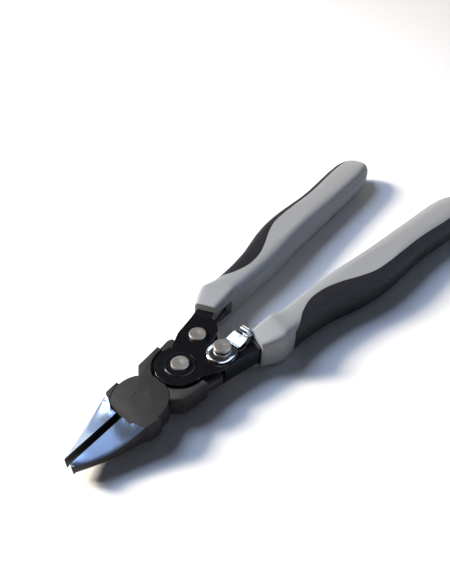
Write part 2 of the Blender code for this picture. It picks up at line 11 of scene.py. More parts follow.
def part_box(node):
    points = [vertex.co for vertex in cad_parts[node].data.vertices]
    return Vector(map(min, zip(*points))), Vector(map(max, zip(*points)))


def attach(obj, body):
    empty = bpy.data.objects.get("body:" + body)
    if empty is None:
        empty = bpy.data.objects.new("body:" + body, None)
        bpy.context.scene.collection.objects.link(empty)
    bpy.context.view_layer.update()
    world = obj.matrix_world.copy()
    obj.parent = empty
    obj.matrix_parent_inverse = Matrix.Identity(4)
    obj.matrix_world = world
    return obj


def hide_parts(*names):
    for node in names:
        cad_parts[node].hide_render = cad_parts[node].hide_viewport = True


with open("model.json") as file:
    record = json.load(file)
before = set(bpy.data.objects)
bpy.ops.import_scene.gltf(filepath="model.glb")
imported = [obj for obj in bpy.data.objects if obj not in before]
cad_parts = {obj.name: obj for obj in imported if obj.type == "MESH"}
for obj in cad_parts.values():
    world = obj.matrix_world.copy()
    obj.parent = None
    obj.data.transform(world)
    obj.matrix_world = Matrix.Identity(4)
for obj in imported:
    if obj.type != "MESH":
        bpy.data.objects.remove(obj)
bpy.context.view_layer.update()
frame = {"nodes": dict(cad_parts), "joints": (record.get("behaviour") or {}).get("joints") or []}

bl_info = {
    "name": "Compound Cutters",
    "version": (1, 0, 0),
    "blender": (4, 5, 0),
    "location": "View3D > Sidebar > Cutters",
    "description": "Builds the finished pieces of a pair of compound-action diagonal cutters",
    "category": "Object",
}

MM = 0.001
MERGE = 2e-6
JOINTS = {joint["name"]: Vector(joint["pos_m"]) for joint in frame["joints"]}
PIVOT = JOINTS["handle_pivot"]
RIGHT_TANG = (JOINTS["left_blade_pivot"] - PIVOT) / MM
LEFT_TANG = (JOINTS["right_blade_pivot"] - PIVOT) / MM
PIN_LOW, PIN_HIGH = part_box("jaw_pivot_pin")
BLADE_PIN = ((PIN_LOW + PIN_HIGH) / 2.0 - PIVOT) / MM


def at(x, y, z):
    """A point given in millimetres about the handle pivot, at half the tool's thickness."""
    return PIVOT + Vector((x, y, z)) * MM


def inner(point):
    """The same point back in millimetres about the handle pivot."""
    return (point - PIVOT) / MM


def smooth_step(low, high, value):
    """0 below a range, 1 above it, and an even rise between."""
    share = min(max((value - low) / (high - low), 0.0), 1.0)
    return share * share * (3.0 - 2.0 * share)


# ---------------------------------------------------------------- sizes and colours

def length(name, description, millimetres):
    """A length property whose default is given in millimetres."""
    return FloatProperty(
        name=name, description=description, default=millimetres * MM, unit="LENGTH", precision=5)


def colour(name, description, value):
    """A base colour property."""
    return FloatVectorProperty(
        name=name, description=description, default=value, size=3, subtype="COLOR", min=0, max=1)


class CutterSizes(bpy.types.PropertyGroup):
    """Sizes of the finished details."""

    forged_round: length("Forged edge", "Rounding on the blades' forged edges", 0.22)
    sheet_round: length("Sheet edge", "Rounding on the pressed channels' edges", 0.42)
    rivet_chamfer: length("Rivet chamfer", "Width of the bright rim round a rivet head", 0.30)
    rivet_dimple: length("Rivet dimple", "Depth of the punch mark in a rivet head", 0.10)
    rim_round: length("Rim", "Rounding of the outer channel's front rim", 0.75)
    joggle: length("Joggle", "Rise of the outer channel round the handle pivot", 0.34)
    latch_sheet: length("Latch sheet", "Thickness of the latch's sheet", 0.7)
    latch_rim: length("Latch rim", "Height of the rolled rim round the latch's nose", 0.35)
    grip_crease: length("Grip crease", "Depth of the crease along a grip's inner side", 0.80)
    insert_depth: length("Insert depth", "Depth of the soft insert in a grip", 2.2)
    insert_gap: length("Insert gap", "Line between a grip and its insert", 0.05)


class CutterColours(bpy.types.PropertyGroup):
    """Base colours of the finishes."""

    oxide: colour("Oxide", "Dark oxide on the forged blades", (0.022, 0.0195, 0.019))
    # The blue in the ground steel's base stands in for the blue sky the facets reflect: painted
    # reflection, on top of what the blue lamps give.
    ground: colour("Ground steel", "Satin ground facets of the jaws", (0.26, 0.34, 0.48))
    enamel: colour("Black enamel", "Glossy black on the pressed channels", (0.006, 0.006, 0.008))
    nickel: colour("Nickel", "Plating of the rivets", (0.26, 0.24, 0.215))
    chrome: colour("Chrome", "Plating of the latch", (0.88, 0.88, 0.88))
    spring: colour("Spring steel", "Spring, washers and spacer", (0.30, 0.30, 0.31))
    grey: colour("Grey grip", "Hard grey grip plastic", (0.265, 0.275, 0.29))
    black: colour("Black grip", "Soft black insert", (0.006, 0.006, 0.007))
    filler: colour("Filler grey", "Plastic filler in the channels", (0.16, 0.16, 0.17))
    floor: colour("Floor", "Pale floor", (0.90, 0.90, 0.90))


def sizes():
    """The scene's sizes, in metres."""
    return bpy.context.scene.cutter_sizes


def colours():
    """The scene's base colours."""
    return bpy.context.scene.cutter_colours


# ---------------------------------------------------------------- materials

# Sockets of a Mix node that mixes colours.
MIX_SHARE = 0
MIX_FIRST = 6
MIX_SECOND = 7
MIX_RESULT = 2

RUBBED_OXIDE = (0.065, 0.060, 0.057)
# Lighter blue for patches on the ground facets: painted reflection of a blue sky.
PAINTED_BLUE_SHEEN = (0.34, 0.42, 0.54)
RUBBED_ENAMEL = (0.03, 0.029, 0.027)
# Near-white tint laid on the rivet heads' rims: a painted highlight.
PAINTED_RIM_HIGHLIGHT = (0.74, 0.71, 0.66)
SCUFFED_CHROME = (0.70, 0.70, 0.69)


class Finish:
    """A Principled material with helpers for the node patterns that the finishes share."""

    def __init__(self, name, base, roughness, metallic=0.0, **sockets):
        self.material = bpy.data.materials.new(name)
        self.material.use_nodes = True
        self.nodes = self.material.node_tree.nodes
        self.links = self.material.node_tree.links
        self.shader = self.nodes["Principled BSDF"]
        self.base = tuple(base)
        self.shader.inputs["Base Color"].default_value = (*self.base, 1.0)
        self.shader.inputs["Roughness"].default_value = roughness
        self.shader.inputs["Metallic"].default_value = metallic
        for socket, value in sockets.items():
            self.shader.inputs[socket.replace("_", " ")].default_value = value
        self.place = self.nodes.new("ShaderNodeTexCoord")
        self.normal = None

    def noise(self, size, stretch=(1.0, 1.0, 1.0), turn=(0.0, 0.0, 0.0), detail=4.0, rough=0.55):
        """Noise whose grains are about size metres across, on Object coordinates."""
        mapping = self.nodes.new("ShaderNodeMapping")
        mapping.inputs["Scale"].default_value = stretch
        mapping.inputs["Rotation"].default_value = turn
        self.links.new(self.place.outputs["Object"], mapping.inputs["Vector"])
        noise = self.nodes.new("ShaderNodeTexNoise")
        noise.inputs["Scale"].default_value = 1.0 / size
        noise.inputs["Detail"].default_value = detail
        noise.inputs["Roughness"].default_value = rough
        self.links.new(mapping.outputs["Vector"], noise.inputs["Vector"])
        return noise.outputs["Fac"]

    def spread(self, value, low, high, out_low, out_high):
        """Maps a 0-1 pattern between two limits to another range."""
        node = self.nodes.new("ShaderNodeMapRange")
        node.inputs["From Min"].default_value = low
        node.inputs["From Max"].default_value = high
        node.inputs["To Min"].default_value = out_low
        node.inputs["To Max"].default_value = out_high
        self.links.new(value, node.inputs["Value"])
        return node.outputs["Result"]

    def edges(self, radius, low=0.02, high=0.25):
        """1 on sharp edges within radius metres, 0 elsewhere."""
        bevel = self.nodes.new("ShaderNodeBevel")
        bevel.samples = 6
        bevel.inputs["Radius"].default_value = radius
        shape = self.nodes.new("ShaderNodeNewGeometry")
        dot = self.nodes.new("ShaderNodeVectorMath")
        dot.operation = "DOT_PRODUCT"
        self.links.new(bevel.outputs["Normal"], dot.inputs[0])
        self.links.new(shape.outputs["Normal"], dot.inputs[1])
        return self.spread(dot.outputs["Value"], 1.0 - low, 1.0 - high, 0.0, 1.0)

    def tint(self, mask, other):
        """Mixes another colour over the base where the mask is 1."""
        mix = self.nodes.new("ShaderNodeMix")
        mix.data_type = "RGBA"
        before = self.shader.inputs["Base Color"]
        if before.is_linked:
            self.links.new(before.links[0].from_socket, mix.inputs[MIX_FIRST])
        else:
            mix.inputs[MIX_FIRST].default_value = (*self.base, 1.0)
        mix.inputs[MIX_SECOND].default_value = (*other, 1.0)
        self.links.new(mask, mix.inputs[MIX_SHARE])
        self.links.new(mix.outputs[MIX_RESULT], before)

    def mottle(self, pattern, low, high, most, other):
        """Tints the high patches of a pattern, by no more than a share."""
        self.tint(self.spread(pattern, low, high, 0.0, most), other)

    def roughen(self, pattern, low, high):
        """Lets a pattern vary the roughness between two limits."""
        self.links.new(self.spread(pattern, 0.3, 0.7, low, high), self.shader.inputs["Roughness"])

    def bump(self, pattern, height, strength=1.0):
        """Adds relief of a height in metres; calls stack up."""
        node = self.nodes.new("ShaderNodeBump")
        node.inputs["Distance"].default_value = height
        node.inputs["Strength"].default_value = strength
        self.links.new(pattern, node.inputs["Height"])
        if self.normal is not None:
            self.links.new(self.normal, node.inputs["Normal"])
        self.normal = node.outputs["Normal"]
        self.links.new(self.normal, self.shader.inputs["Normal"])


def shade(base, factor):
    """The same colour, lighter or darker by a factor."""
    return tuple(min(1.0, channel * factor) for channel in base)


def forged_oxide():
    """Dark oxide over a fine forged grain, rubbed to steel along the edges."""
    base = colours().oxide
    finish = Finish("forged_oxide", base, 0.58, 0.0, Specular_IOR_Level=0.20)
    finish.mottle(finish.noise(0.006), 0.35, 0.7, 0.8, shade(base, 1.45))
    finish.mottle(finish.noise(0.0005, detail=2.0), 0.45, 0.75, 0.6, shade(base, 0.62))
    finish.tint(finish.edges(0.0003, 0.04, 0.35), RUBBED_OXIDE)
    finish.roughen(finish.noise(0.0015), 0.50, 0.66)
    finish.bump(finish.noise(0.00035, detail=3.0), 0.00003, 0.6)
    finish.bump(finish.noise(0.003), 0.00008, 0.35)
    return finish.material


def ground_steel():
    """Satin facets with grinding lines across the jaws, tinted blue with painted reflection."""
    base = colours().ground
    finish = Finish("ground_steel", base, 0.25, 0.80)
    across = finish.noise(0.0009, stretch=(0.10, 2.2, 1.0), turn=(0.0, 0.0, 0.25), detail=5.0)
    finish.mottle(across, 0.35, 0.7, 0.35, shade(base, 0.82))
    # Painted reflection: patches of lighter blue over the facets.
    finish.mottle(finish.noise(0.008), 0.4, 0.7, 0.4, PAINTED_BLUE_SHEEN)
    finish.roughen(across, 0.18, 0.24)
    finish.bump(across, 0.00001, 0.5)
    return finish.material


def black_enamel():
    """Deep gloss black with a faint ripple and rubbed edges."""
    finish = Finish("black_enamel", colours().enamel, 0.10, 0.0)
    finish.tint(finish.edges(0.0002, 0.05, 0.4), RUBBED_ENAMEL)
    finish.roughen(finish.noise(0.004), 0.07, 0.14)
    finish.bump(finish.noise(0.0016, detail=2.0), 0.00002, 0.35)
    return finish.material


def rivet_nickel():
    """Dull nickel with turning rings and a painted highlight round the rim."""
    base = colours().nickel
    finish = Finish("rivet_nickel", base, 0.38, 0.6)
    finish.mottle(finish.noise(0.0012), 0.4, 0.7, 0.7, shade(base, 0.72))
    # Painted highlight: lightens the rim of each rivet head.
    finish.tint(finish.edges(0.00025), PAINTED_RIM_HIGHLIGHT)
    finish.roughen(finish.noise(0.0008), 0.30, 0.46)
    finish.bump(finish.noise(0.0003, detail=3.0), 0.00002, 0.5)
    return finish.material


def latch_chrome():
    """Bright plating, a little scuffed."""
    finish = Finish("latch_chrome", colours().chrome, 0.09, 1.0)
    scuff = finish.noise(0.0012, stretch=(2.0, 0.3, 1.0), detail=5.0)
    finish.roughen(scuff, 0.05, 0.20)
    finish.mottle(finish.noise(0.004), 0.5, 0.75, 0.4, SCUFFED_CHROME)
    finish.bump(scuff, 0.00001, 0.25)
    return finish.material


def spring_steel():
    """Bare drawn steel."""
    base = colours().spring
    finish = Finish("spring_steel", base, 0.30, 1.0)
    drawn = finish.noise(0.0010, stretch=(1.0, 1.0, 3.0))
    finish.mottle(drawn, 0.4, 0.7, 0.6, shade(base, 0.6))
    finish.roughen(drawn, 0.22, 0.40)
    return finish.material


def grey_plastic():
    """Moulded grey grip with a fine spark-eroded texture."""
    base = colours().grey
    finish = Finish("grey_plastic", base, 0.50)
    finish.mottle(finish.noise(0.03), 0.35, 0.7, 0.5, shade(base, 0.93))
    finish.mottle(finish.noise(0.0006, detail=2.0), 0.45, 0.8, 0.5, shade(base, 0.90))
    finish.roughen(finish.noise(0.002), 0.44, 0.56)
    finish.bump(finish.noise(0.00045, detail=2.0), 0.00004, 0.5)
    return finish.material


def black_rubber():
    """Soft black insert, matte with a fine stipple."""
    base = colours().black
    finish = Finish("black_rubber", base, 0.55, Specular_IOR_Level=0.22)
    finish.mottle(finish.noise(0.012), 0.4, 0.7, 0.6, shade(base, 1.5))
    finish.roughen(finish.noise(0.0015), 0.48, 0.62)
    finish.bump(finish.noise(0.0005, detail=2.0), 0.00006, 0.6)
    return finish.material


def filler_plastic():
    """Plain moulded plastic between the channels' plates."""
    base = colours().filler
    finish = Finish("filler_plastic", base, 0.55)
    finish.mottle(finish.noise(0.0015), 0.4, 0.7, 0.6, shade(base, 0.8))
    finish.bump(finish.noise(0.0006), 0.00004, 0.5)
    return finish.material


FINISH_MAKERS = {
    "forged_steel": forged_oxide,
    "ground_steel": ground_steel,
    "black_sheet": black_enamel,
    "rivet_nickel": rivet_nickel,
    "chrome": latch_chrome,
    "spring_steel": spring_steel,
    "grip_grey": grey_plastic,
    "grip_black": black_rubber,
    "filler_grey": filler_plastic,
}
FINISHES = {}


def finish_for(name):
    """The material of one finish, made when it is first needed."""
    if name not in FINISHES:
        FINISHES[name] = FINISH_MAKERS[name]()
    return FINISHES[name]


# ---------------------------------------------------------------- shaping helpers

MAIN_FINISH = 0
SECOND_FINISH = 1
FLAT_FACE_WEIGHT = 75
FLAT_ANGLE = math.radians(1.0)
EDGE_ANGLE = math.radians(30.0)


def make_piece(name, bm, body, slot, nodes, finishes=None, sharp=35.0, flat_faces=False):
    """Turns a bmesh into a finished piece that rides on a body and stands for CAD nodes."""
    mesh = bpy.data.meshes.new(name)
    bm.to_mesh(mesh)
    bm.free()
    mesh.shade_smooth()
    mesh.set_sharp_from_angle(angle=math.radians(sharp))
    for finish in finishes or (slot,):
        mesh.materials.append(finish_for(finish))
    piece = bpy.data.objects.new(name, mesh)
    bpy.context.scene.collection.objects.link(piece)
    if flat_faces:
        normals = piece.modifiers.new("flat_faces", "WEIGHTED_NORMAL")
        normals.keep_sharp = True
        normals.weight = FLAT_FACE_WEIGHT
    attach(piece, body)
    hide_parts(*nodes)
    return piece


def grid_shape(columns, rows, place):
    """A grid bent into a closed shape: place(column, row) gives each point in millimetres."""
    bm = bmesh.new()
    bmesh.ops.create_grid(bm, x_segments=columns, y_segments=rows, size=0.5)
    for vert in bm.verts:
        column = round((vert.co.x + 0.5) * columns)
        row = round((vert.co.y + 0.5) * rows)
        vert.co = at(*place(column, row))
    bmesh.ops.remove_doubles(bm, verts=bm.verts, dist=MERGE)
    bmesh.ops.dissolve_degenerate(bm, edges=bm.edges, dist=MERGE)
    bmesh.ops.recalc_face_normals(bm, faces=bm.faces)
    return bm


def flip_side(bm):
    """Mirrors a piece to the other handle."""
    centre = Matrix.Translation(PIVOT)
    mirror = centre @ Matrix.Scale(-1.0, 4, Vector((1.0, 0.0, 0.0))) @ centre.inverted()
    bmesh.ops.transform(bm, matrix=mirror, verts=bm.verts)
    bmesh.ops.reverse_faces(bm, faces=bm.faces)
    return bm


def turned(profile, centre, steps=64):
    """Spins a profile of (radius, height) millimetres about a vertical axis."""
    bm = bmesh.new()
    chain = [bm.verts.new(at(centre.x + radius, centre.y, height)) for radius, height in profile]
    edges = [bm.edges.new(pair) for pair in zip(chain, chain[1:])]
    bmesh.ops.spin(
        bm, geom=chain + edges, cent=at(centre.x, centre.y, 0.0), axis=(0.0, 0.0, 1.0),
        angle=2.0 * math.pi, steps=steps, use_merge=True)
    bmesh.ops.remove_doubles(bm, verts=bm.verts, dist=MERGE)
    bmesh.ops.recalc_face_normals(bm, faces=bm.faces)
    return bm


def prism(outline, low, high):
    """Extrudes a plan outline in millimetres between two heights."""
    bm = bmesh.new()
    base = bm.faces.new([bm.verts.new(at(x, y, low)) for x, y in outline])
    raised = bmesh.ops.extrude_face_region(bm, geom=[base])["geom"]
    top = [item for item in raised if isinstance(item, bmesh.types.BMVert)]
    bmesh.ops.translate(bm, verts=top, vec=(0.0, 0.0, (high - low) * MM))
    bmesh.ops.recalc_face_normals(bm, faces=bm.faces)
    return bm


def cut(bm, tool_bm):
    """Subtracts one closed bmesh from another."""
    pair = []
    for part in (bm, tool_bm):
        mesh = bpy.data.meshes.new("cut")
        part.to_mesh(mesh)
        part.free()
        piece = bpy.data.objects.new("cut", mesh)
        bpy.context.scene.collection.objects.link(piece)
        pair.append(piece)
    body, tool = pair
    modifier = body.modifiers.new("cut", "BOOLEAN")
    modifier.operation = "DIFFERENCE"
    modifier.object = tool
    bpy.context.view_layer.update()
    graph = bpy.context.evaluated_depsgraph_get()
    result = bmesh.new()
    result.from_mesh(body.evaluated_get(graph).data)
    for piece in pair:
        mesh = piece.data
        bpy.data.objects.remove(piece)
        bpy.data.meshes.remove(mesh)
    return result


def refined_copy(node, mark=None):
    """A merged copy of a CAD node's mesh, its flat faces joined up again unless they are marked."""
    bm = bmesh.new()
    bm.from_mesh(frame["nodes"][node].data)
    bmesh.ops.remove_doubles(bm, verts=bm.verts, dist=MERGE)
    if mark is not None:
        mark(bm)
    plain = []
    for edge in bm.edges:
        if all(face.material_index == MAIN_FINISH for face in edge.link_faces):
            plain.append(edge)
    bmesh.ops.dissolve_limit(bm, angle_limit=FLAT_ANGLE, verts=[], edges=plain)
    return bm


def round_edges(bm, width, segments, keep=None):
    """Bevels the sharp edges that keep() accepts."""
    chosen = []
    for edge in bm.edges:
        if not edge.is_manifold or edge.calc_face_angle() < EDGE_ANGLE:
            continue
        if keep is None or keep(inner((edge.verts[0].co + edge.verts[1].co) / 2.0)):
            chosen.append(edge)
    bmesh.ops.bevel(
        bm, geom=chosen, offset=width, segments=segments, profile=0.5, affect="EDGES",
        material=-1, clamp_overlap=True, loop_slide=True)


# ---------------------------------------------------------------- blades

# The ground facets start at an arc behind the cutting edges and cover the jaws' sloping tops.
FACET_Y = -28.7
FACET_ARC_R = 23.0
FACET_HALF = 12.0
FACET_BOTTOM = -0.5
FACET_RISE = (0.15, 0.9985)
FACET_INWARD = 0.05
CUTTING_HALF = 2.2
CUTTING_BACK = FACET_Y + 1.0
PIN_CLEAR = 3.4
PIN_FILL = 0.05
NOSE_END = -48.8


def facet_root(x):
    """How far back the ground facets reach at a distance from the middle."""
    return FACET_Y + FACET_ARC_R - math.sqrt(FACET_ARC_R ** 2 - x ** 2)


def mark_facets(bm):
    """Gives the ground facets on top of the jaws their bright finish."""
    bm.normal_update()
    for face in bm.faces:
        middle = inner(face.calc_center_median())
        ahead = abs(middle.x) < FACET_HALF and middle.y < facet_root(middle.x)
        outward = face.normal.x * math.copysign(1.0, middle.x) > -FACET_INWARD
        sloping = FACET_RISE[0] < face.normal.z < FACET_RISE[1]
        ground = ahead and outward and sloping and middle.z > FACET_BOTTOM
        face.material_index = SECOND_FINISH if ground else MAIN_FINISH


def forged_edge(point):
    """True where a forged edge is rounded: not on the cutting edges, the tips or the pin's hole."""
    cutting = point.y < CUTTING_BACK and abs(point.x) < CUTTING_HALF
    at_pin = (point.xy - BLADE_PIN.xy).length < PIN_CLEAR
    return not cutting and not at_pin and point.y > NOSE_END


def build_blade(name, node, body):
    """One blade with broken forged edges and bright facets."""
    bm = refined_copy(node, mark_facets)
    round_edges(bm, sizes().forged_round, 2, forged_edge)
    make_piece(name, bm, body, "forged_steel", [node], ("forged_steel", "ground_steel"),
               sharp=30.0)


class BuildBlades(bpy.types.Operator):
    """Build the two forged blades and the flush pin between them"""

    bl_idname = "cutters.build_blades"
    bl_label = "Blades"

    def execute(self, context):
        build_blade("right_blade", "cutting_blade_right", "right_blade")
        build_blade("left_blade", "cutting_blade_left", "left_blade")
        radius = (PIN_HIGH.x - PIN_LOW.x) / 2.0 / MM + PIN_FILL
        half = (PIN_HIGH.z - PIN_LOW.z) / 2.0 / MM
        profile = [(0.0, -half), (radius, -half), (radius, half), (0.0, half)]
        make_piece("blade_pin", turned(profile, BLADE_PIN), "right_blade", "forged_steel",
                   ["jaw_pivot_pin"], flat_faces=True)
        return {"FINISHED"}


# ---------------------------------------------------------------- channels

JOGGLE_AXIS = Vector((RIGHT_TANG.x, RIGHT_TANG.y, 0.0)).normalized()
JOGGLE_ACROSS = Vector((JOGGLE_AXIS.y, -JOGGLE_AXIS.x, 0.0))
JOGGLE_STEPS = ((6.7, 7.1), (9.3, 9.7))
JOGGLE_FADE = (2.0, 4.0)
JOGGLE_TAIL = 13.0
# Above this height lie the outer channel's outer faces, which are raised; the inner ones stay flat.
JOGGLE_LEVEL = 3.5
FRONT_RIM = (9.45, 9.75)
FRONT_RIM_BACK = 2.0
FRONT_RIM_LEVEL = 4.0
FRONT_RIM_CLEAR = 1.0


def split_at(bm, reach, direction):
    """Cuts the mesh's faces along a plane at a distance from the handle pivot."""
    geometry = bm.verts[:] + bm.edges[:] + bm.faces[:]
    bmesh.ops.bisect_plane(
        bm, geom=geometry, dist=MERGE, plane_co=at(*(direction * reach)), plane_no=direction)


def raise_front(bm):
    """Lifts both plates' outer faces round the pivot, with two short steps across the arm."""
    for reach in (*JOGGLE_STEPS[0], *JOGGLE_STEPS[1], JOGGLE_TAIL):
        split_at(bm, reach, JOGGLE_AXIS)
    for reach in JOGGLE_FADE:
        split_at(bm, reach, JOGGLE_ACROSS)
    for vert in bm.verts:
        point = inner(vert.co)
        if abs(point.z) < JOGGLE_LEVEL:
            continue
        along = point.dot(JOGGLE_AXIS)
        across = point.dot(JOGGLE_ACROSS)
        dropped = [smooth_step(low, high, along) for low, high in JOGGLE_STEPS]
        stepped = 1.0 - sum(dropped) / len(dropped)
        ramped = 1.0 - smooth_step(JOGGLE_STEPS[0][0], JOGGLE_TAIL, along)
        mix = smooth_step(*JOGGLE_FADE, across)
        rise = sizes().joggle * (stepped * (1.0 - mix) + ramped * mix)
        vert.co.z += math.copysign(rise, point.z)


def on_front_rim(point):
    """True on the long curved rim of the outer channel's plates."""
    at_front = point.y < FRONT_RIM_BACK and abs(point.z) > FRONT_RIM_LEVEL
    return at_front and FRONT_RIM[0] < point.xy.length < FRONT_RIM[1]


def off_front_rim(point):
    """True away from the rim that has its own rounding."""
    return point.xy.length < FRONT_RIM[0] - FRONT_RIM_CLEAR or point.y > 0.0


def build_channel(name, node, body, outer=False):
    """One pressed channel; the outer one also has the raised front and its soft rim."""
    bm = refined_copy(node)
    if outer:
        raise_front(bm)
        round_edges(bm, sizes().rim_round, 4, on_front_rim)
    round_edges(bm, sizes().sheet_round, 3, off_front_rim if outer else None)
    make_piece(name, bm, body, "black_sheet", [node], sharp=70.0, flat_faces=True)


class BuildChannels(bpy.types.Operator):
    """Build the two pressed channels"""

    bl_idname = "cutters.build_channels"
    bl_label = "Channels"

    def execute(self, context):
        build_channel("right_channel", "right_handle_channel", "right_handle", True)
        build_channel("left_channel", "left_handle_channel", "left_handle")
        return {"FINISHED"}


# ---------------------------------------------------------------- rivets and small steel parts

# Rivets: piece, CAD node, body, centre, and the depth and height of the two heads' seats.
RIVETS = (
    ("pivot_rivet", "handle_pivot_rivet", "right_handle", Vector((0.0, 0.0, 0.0)), 5.0, 5.0),
    ("left_rivet", "left_tang_rivet", "left_handle", LEFT_TANG, 3.4, 3.4),
    ("right_rivet", "right_tang_rivet", "right_handle", RIGHT_TANG, 4.6, 6.1),
)
STEM_R = 2.1
DIMPLE_RIM_R = 0.75
DIMPLE_FLOOR_R = 0.45


def rivet_half(radius, seat, top):
    """Half profile of a rivet head from its seat to the middle of its face."""
    chamfer = sizes().rivet_chamfer / MM
    dimple = sizes().rivet_dimple / MM
    return [
        (radius, seat), (radius, top - chamfer), (radius - chamfer, top), (DIMPLE_RIM_R, top),
        (DIMPLE_FLOOR_R, top - dimple), (0.0, top - dimple),
    ]


class BuildRivets(bpy.types.Operator):
    """Build the three rivets with their chamfered, dimpled heads"""

    bl_idname = "cutters.build_rivets"
    bl_label = "Rivets"

    def execute(self, context):
        for name, node, body, centre, seat_below, seat_above in RIVETS:
            low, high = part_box(node)
            radius = (high.x - low.x) / 2.0 / MM
            top = inner(high).z
            bottom = -inner(low).z
            above = rivet_half(radius, seat_above, top)
            lower = rivet_half(radius, seat_below, bottom)
            below = [(reach, -depth) for reach, depth in reversed(lower)]
            stem = [(STEM_R, -seat_below), (STEM_R, seat_above)]
            bm = turned(below + stem + above, centre)
            make_piece(name, bm, body, "rivet_nickel", [node], sharp=20.0)
        return {"FINISHED"}


PLAIN_NODES = {
    "spring_steel": ("return_spring", "handle_pivot_spacer", "right_tang_washer_top",
                     "right_tang_washer_bottom", "latch_spring_washer"),
    "filler_grey": ("right_channel_filler", "left_channel_filler"),
}


class FinishSmallParts(bpy.types.Operator):
    """Give the spring, spacer, washers and fillers their finishes"""

    bl_idname = "cutters.finish_small_parts"
    bl_label = "Small parts"

    def execute(self, context):
        for slot, nodes in PLAIN_NODES.items():
            for node in nodes:
                piece = frame["nodes"][node]
                piece.data.materials.clear()
                piece.data.materials.append(finish_for(slot))
        return {"FINISHED"}


# ---------------------------------------------------------------- latch

LATCH_NOSE = Vector((7.5, 13.8))
LATCH_NOSE_R = 5.2
LATCH_MID = 5.05
LATCH_RISE = 1.125
CURL_R = 1.08
CURL_CENTRE = Vector((28.0, LATCH_MID + CURL_R))
CURL_SWEEP = math.radians(250.0)
LATCH_START = LATCH_NOSE.y - LATCH_NOSE_R
LATCH_STRAIGHT = CURL_CENTRE.x - LATCH_START
LATCH_LENGTH = LATCH_STRAIGHT + CURL_R * CURL_SWEEP
NOSE_SHARE = LATCH_NOSE_R / LATCH_LENGTH
# The raised plate steps up, slopes on and drops again.
PLATE_STEP = (20.4, 21.0)
PLATE_DROP = (25.6, 26.3)
PLATE_FIRST = 0.35
# Where the latch narrows or widens: from, to, off its left side and off its right side.
LATCH_TAPERS = (
    (15.0, 21.0, 2.2, 0.0),
    (15.0, 22.0, 0.0, 1.3),
    (24.0, 28.0, 0.4, 1.2),
    (19.0, 19.5, 0.5, 0.9),
    (20.5, 21.0, -0.5, -0.9),
)
CURL_SIDES = (6.2, 9.6)
RIM_INSET = 0.45
RIM_WIDTH = 0.35
RIM_FADE = (14.0, 18.0)
LATCH_COLUMNS = 28
LATCH_ROWS = 150
NOSE_ROWS = 30
LATCH_HOLE_R = 2.26
LATCH_HOLE = (3.0, 9.0)


def plate_rise(y):
    """Share of the raised plate's height at a distance along the latch."""
    rise = PLATE_FIRST * smooth_step(*PLATE_STEP, y)
    slope = (y - PLATE_STEP[1]) / (PLATE_DROP[0] - PLATE_STEP[1])
    if 0.0 < slope < 1.0:
        rise += (1.0 - PLATE_FIRST) * slope
    return rise * (1.0 - smooth_step(*PLATE_DROP, y))


def latch_line(run):
    """Middle line of the latch at a run from its nose, flat and then curled: (y, z)."""
    if run <= LATCH_STRAIGHT:
        y = LATCH_START + run
        return y, LATCH_MID + LATCH_RISE * plate_rise(y)
    angle = (run - LATCH_STRAIGHT) / CURL_R - math.pi / 2.0
    return CURL_CENTRE.x + CURL_R * math.cos(angle), CURL_CENTRE.y + CURL_R * math.sin(angle)


def latch_sides(y):
    """Left and right edges of the latch's flat part at a distance along it."""
    ahead = min(y - LATCH_NOSE.y, 0.0)
    nose = math.sqrt(max(LATCH_NOSE_R ** 2 - ahead ** 2, 0.0))
    left = LATCH_NOSE.x - nose
    right = LATCH_NOSE.x + nose
    for start, end, off_left, off_right in LATCH_TAPERS:
        share = smooth_step(start, end, y)
        left += off_left * share
        right -= off_right * share
    return left, right


def rolled_rim(x, y):
    """Share of the rim's height round the nose, which fades along the sides."""
    reach = LATCH_NOSE_R - (Vector((x, min(y, LATCH_NOSE.y))) - LATCH_NOSE).length
    return math.exp(-((reach - RIM_INSET) / RIM_WIDTH) ** 2) * (1.0 - smooth_step(*RIM_FADE, y))


def latch_bmesh():
    """The latch's sheet: nose, sides, raised plate and curled tab."""

    def place(column, row):
        if row <= NOSE_ROWS:
            share = NOSE_SHARE * (1.0 - math.cos(math.pi / 2.0 * row / NOSE_ROWS))
        else:
            along = (row - NOSE_ROWS) / (LATCH_ROWS - NOSE_ROWS)
            share = NOSE_SHARE + (1.0 - NOSE_SHARE) * along
        run = share * LATCH_LENGTH
        y, z = latch_line(run)
        left, right = CURL_SIDES if run > LATCH_STRAIGHT else latch_sides(y)
        x = left + (right - left) * (0.5 - 0.5 * math.cos(math.pi * column / LATCH_COLUMNS))
        return x, y, z + sizes().latch_rim / MM * rolled_rim(x, y)

    bm = grid_shape(LATCH_COLUMNS, LATCH_ROWS, place)
    bm.normal_update()
    flat = [face for face in bm.faces if inner(face.calc_center_median()).y < PLATE_DROP[0]]
    if sum(face.normal.z for face in flat) < 0.0:
        bmesh.ops.reverse_faces(bm, faces=bm.faces)
    bmesh.ops.solidify(bm, geom=bm.faces, thickness=sizes().latch_sheet)
    bmesh.ops.translate(bm, verts=bm.verts, vec=(0.0, 0.0, sizes().latch_sheet / 2.0))
    bmesh.ops.recalc_face_normals(bm, faces=bm.faces)
    return bm


class BuildLatch(bpy.types.Operator):
    """Build the chrome lock latch with its rim, raised plate and curled tab"""

    bl_idname = "cutters.build_latch"
    bl_label = "Latch"

    def execute(self, context):
        low, high = LATCH_HOLE
        profile = [(0.0, low), (LATCH_HOLE_R, low), (LATCH_HOLE_R, high), (0.0, high)]
        bm = cut(latch_bmesh(), turned(profile, RIGHT_TANG, 40))
        make_piece("latch", bm, "latch", "chrome", ["lock_latch"], sharp=40.0)
        return {"FINISHED"}


# ---------------------------------------------------------------- grips

